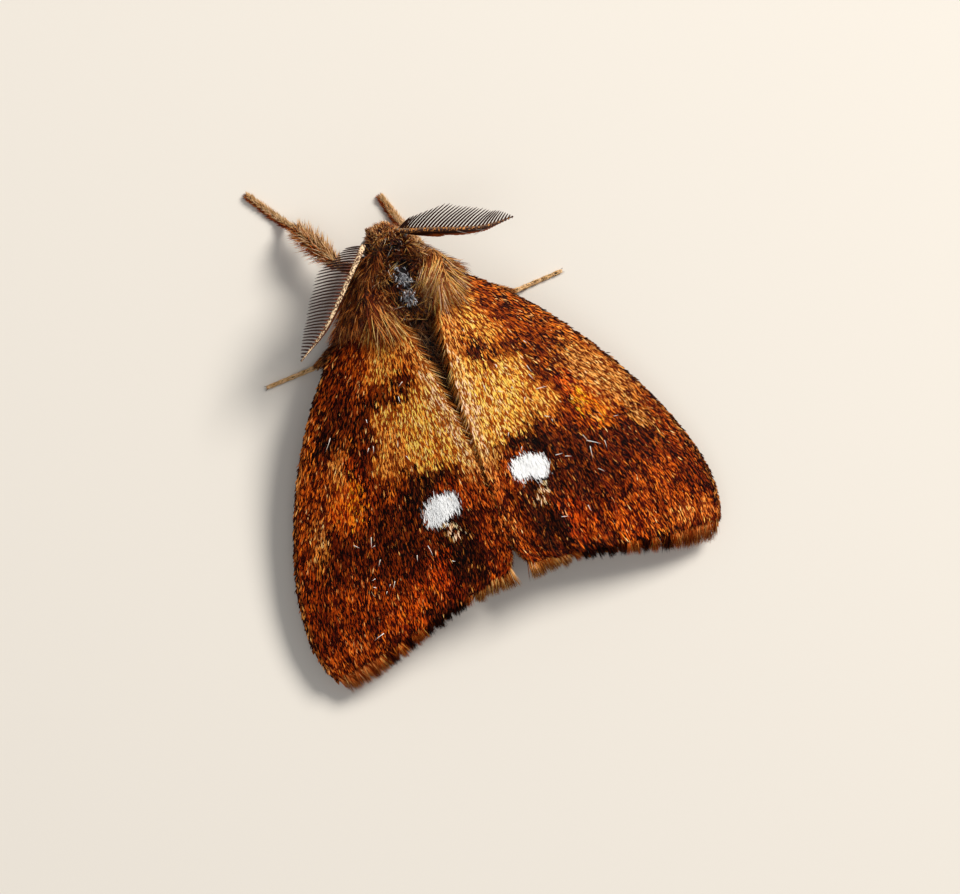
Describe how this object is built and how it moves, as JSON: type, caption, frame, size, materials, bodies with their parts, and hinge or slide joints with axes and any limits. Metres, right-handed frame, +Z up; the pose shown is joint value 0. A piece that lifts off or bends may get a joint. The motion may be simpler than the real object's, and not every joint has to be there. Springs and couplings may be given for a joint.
{
  "type": "moth",
  "caption": "Resting brown moth with roofed wings, a furry body and feathered antennae, as a still life-size model.",
  "frame": {"origin": "middle of the footprint's bounding box, on the floor that the feet stand on", "axes": "+Z up; -Y the way the head points; +X the moth's own left side"},
  "size_m": [0.0164, 0.0186, 0.004],
  "materials": {
    "body_hair": "dense dark brown hair with pale hair tips",
    "abdomen_hair": "dense blackish brown hair",
    "shoulder_hair": "long golden brown hair",
    "forewing_scales": "rust brown hair-like scales with dark bands and a white spot",
    "hindwing_scales": "orange brown hair-like scales",
    "eye": "glossy black facets",
    "antenna": "cream stem with dark brown teeth",
    "leg_hair": "orange brown hair",
    "foot_scales": "pale cream scales, browner on the forelegs"
  },
  "bodies": {
    "root": {"head": "body_hair", "thorax": "body_hair", "abdomen": "abdomen_hair", "tail_tuft": "abdomen_hair", "eye_left": "eye", "eye_right": "eye", "palp_left": "body_hair", "palp_right": "body_hair", "shoulder_tuft_left": "shoulder_hair", "shoulder_tuft_right": "shoulder_hair", "antenna_left": "antenna", "antenna_right": "antenna", "forewing_left": "forewing_scales", "forewing_right": "forewing_scales", "hindwing_left": "hindwing_scales", "hindwing_right": "hindwing_scales", "foreleg_left_femur": "leg_hair", "foreleg_left_tibia": "leg_hair", "foreleg_left_tarsus": "foot_scales", "foreleg_right_femur": "leg_hair", "foreleg_right_tibia": "leg_hair", "foreleg_right_tarsus": "foot_scales", "midleg_left_femur": "leg_hair", "midleg_left_tibia": "leg_hair", "midleg_left_tarsus": "foot_scales", "midleg_right_femur": "leg_hair", "midleg_right_tibia": "leg_hair", "midleg_right_tarsus": "foot_scales", "hindleg_left_femur": "leg_hair", "hindleg_left_tibia": "leg_hair", "hindleg_left_tarsus": "foot_scales", "hindleg_right_femur": "leg_hair", "hindleg_right_tibia": "leg_hair", "hindleg_right_tarsus": "foot_scales"}
  },
  "joints": []
}
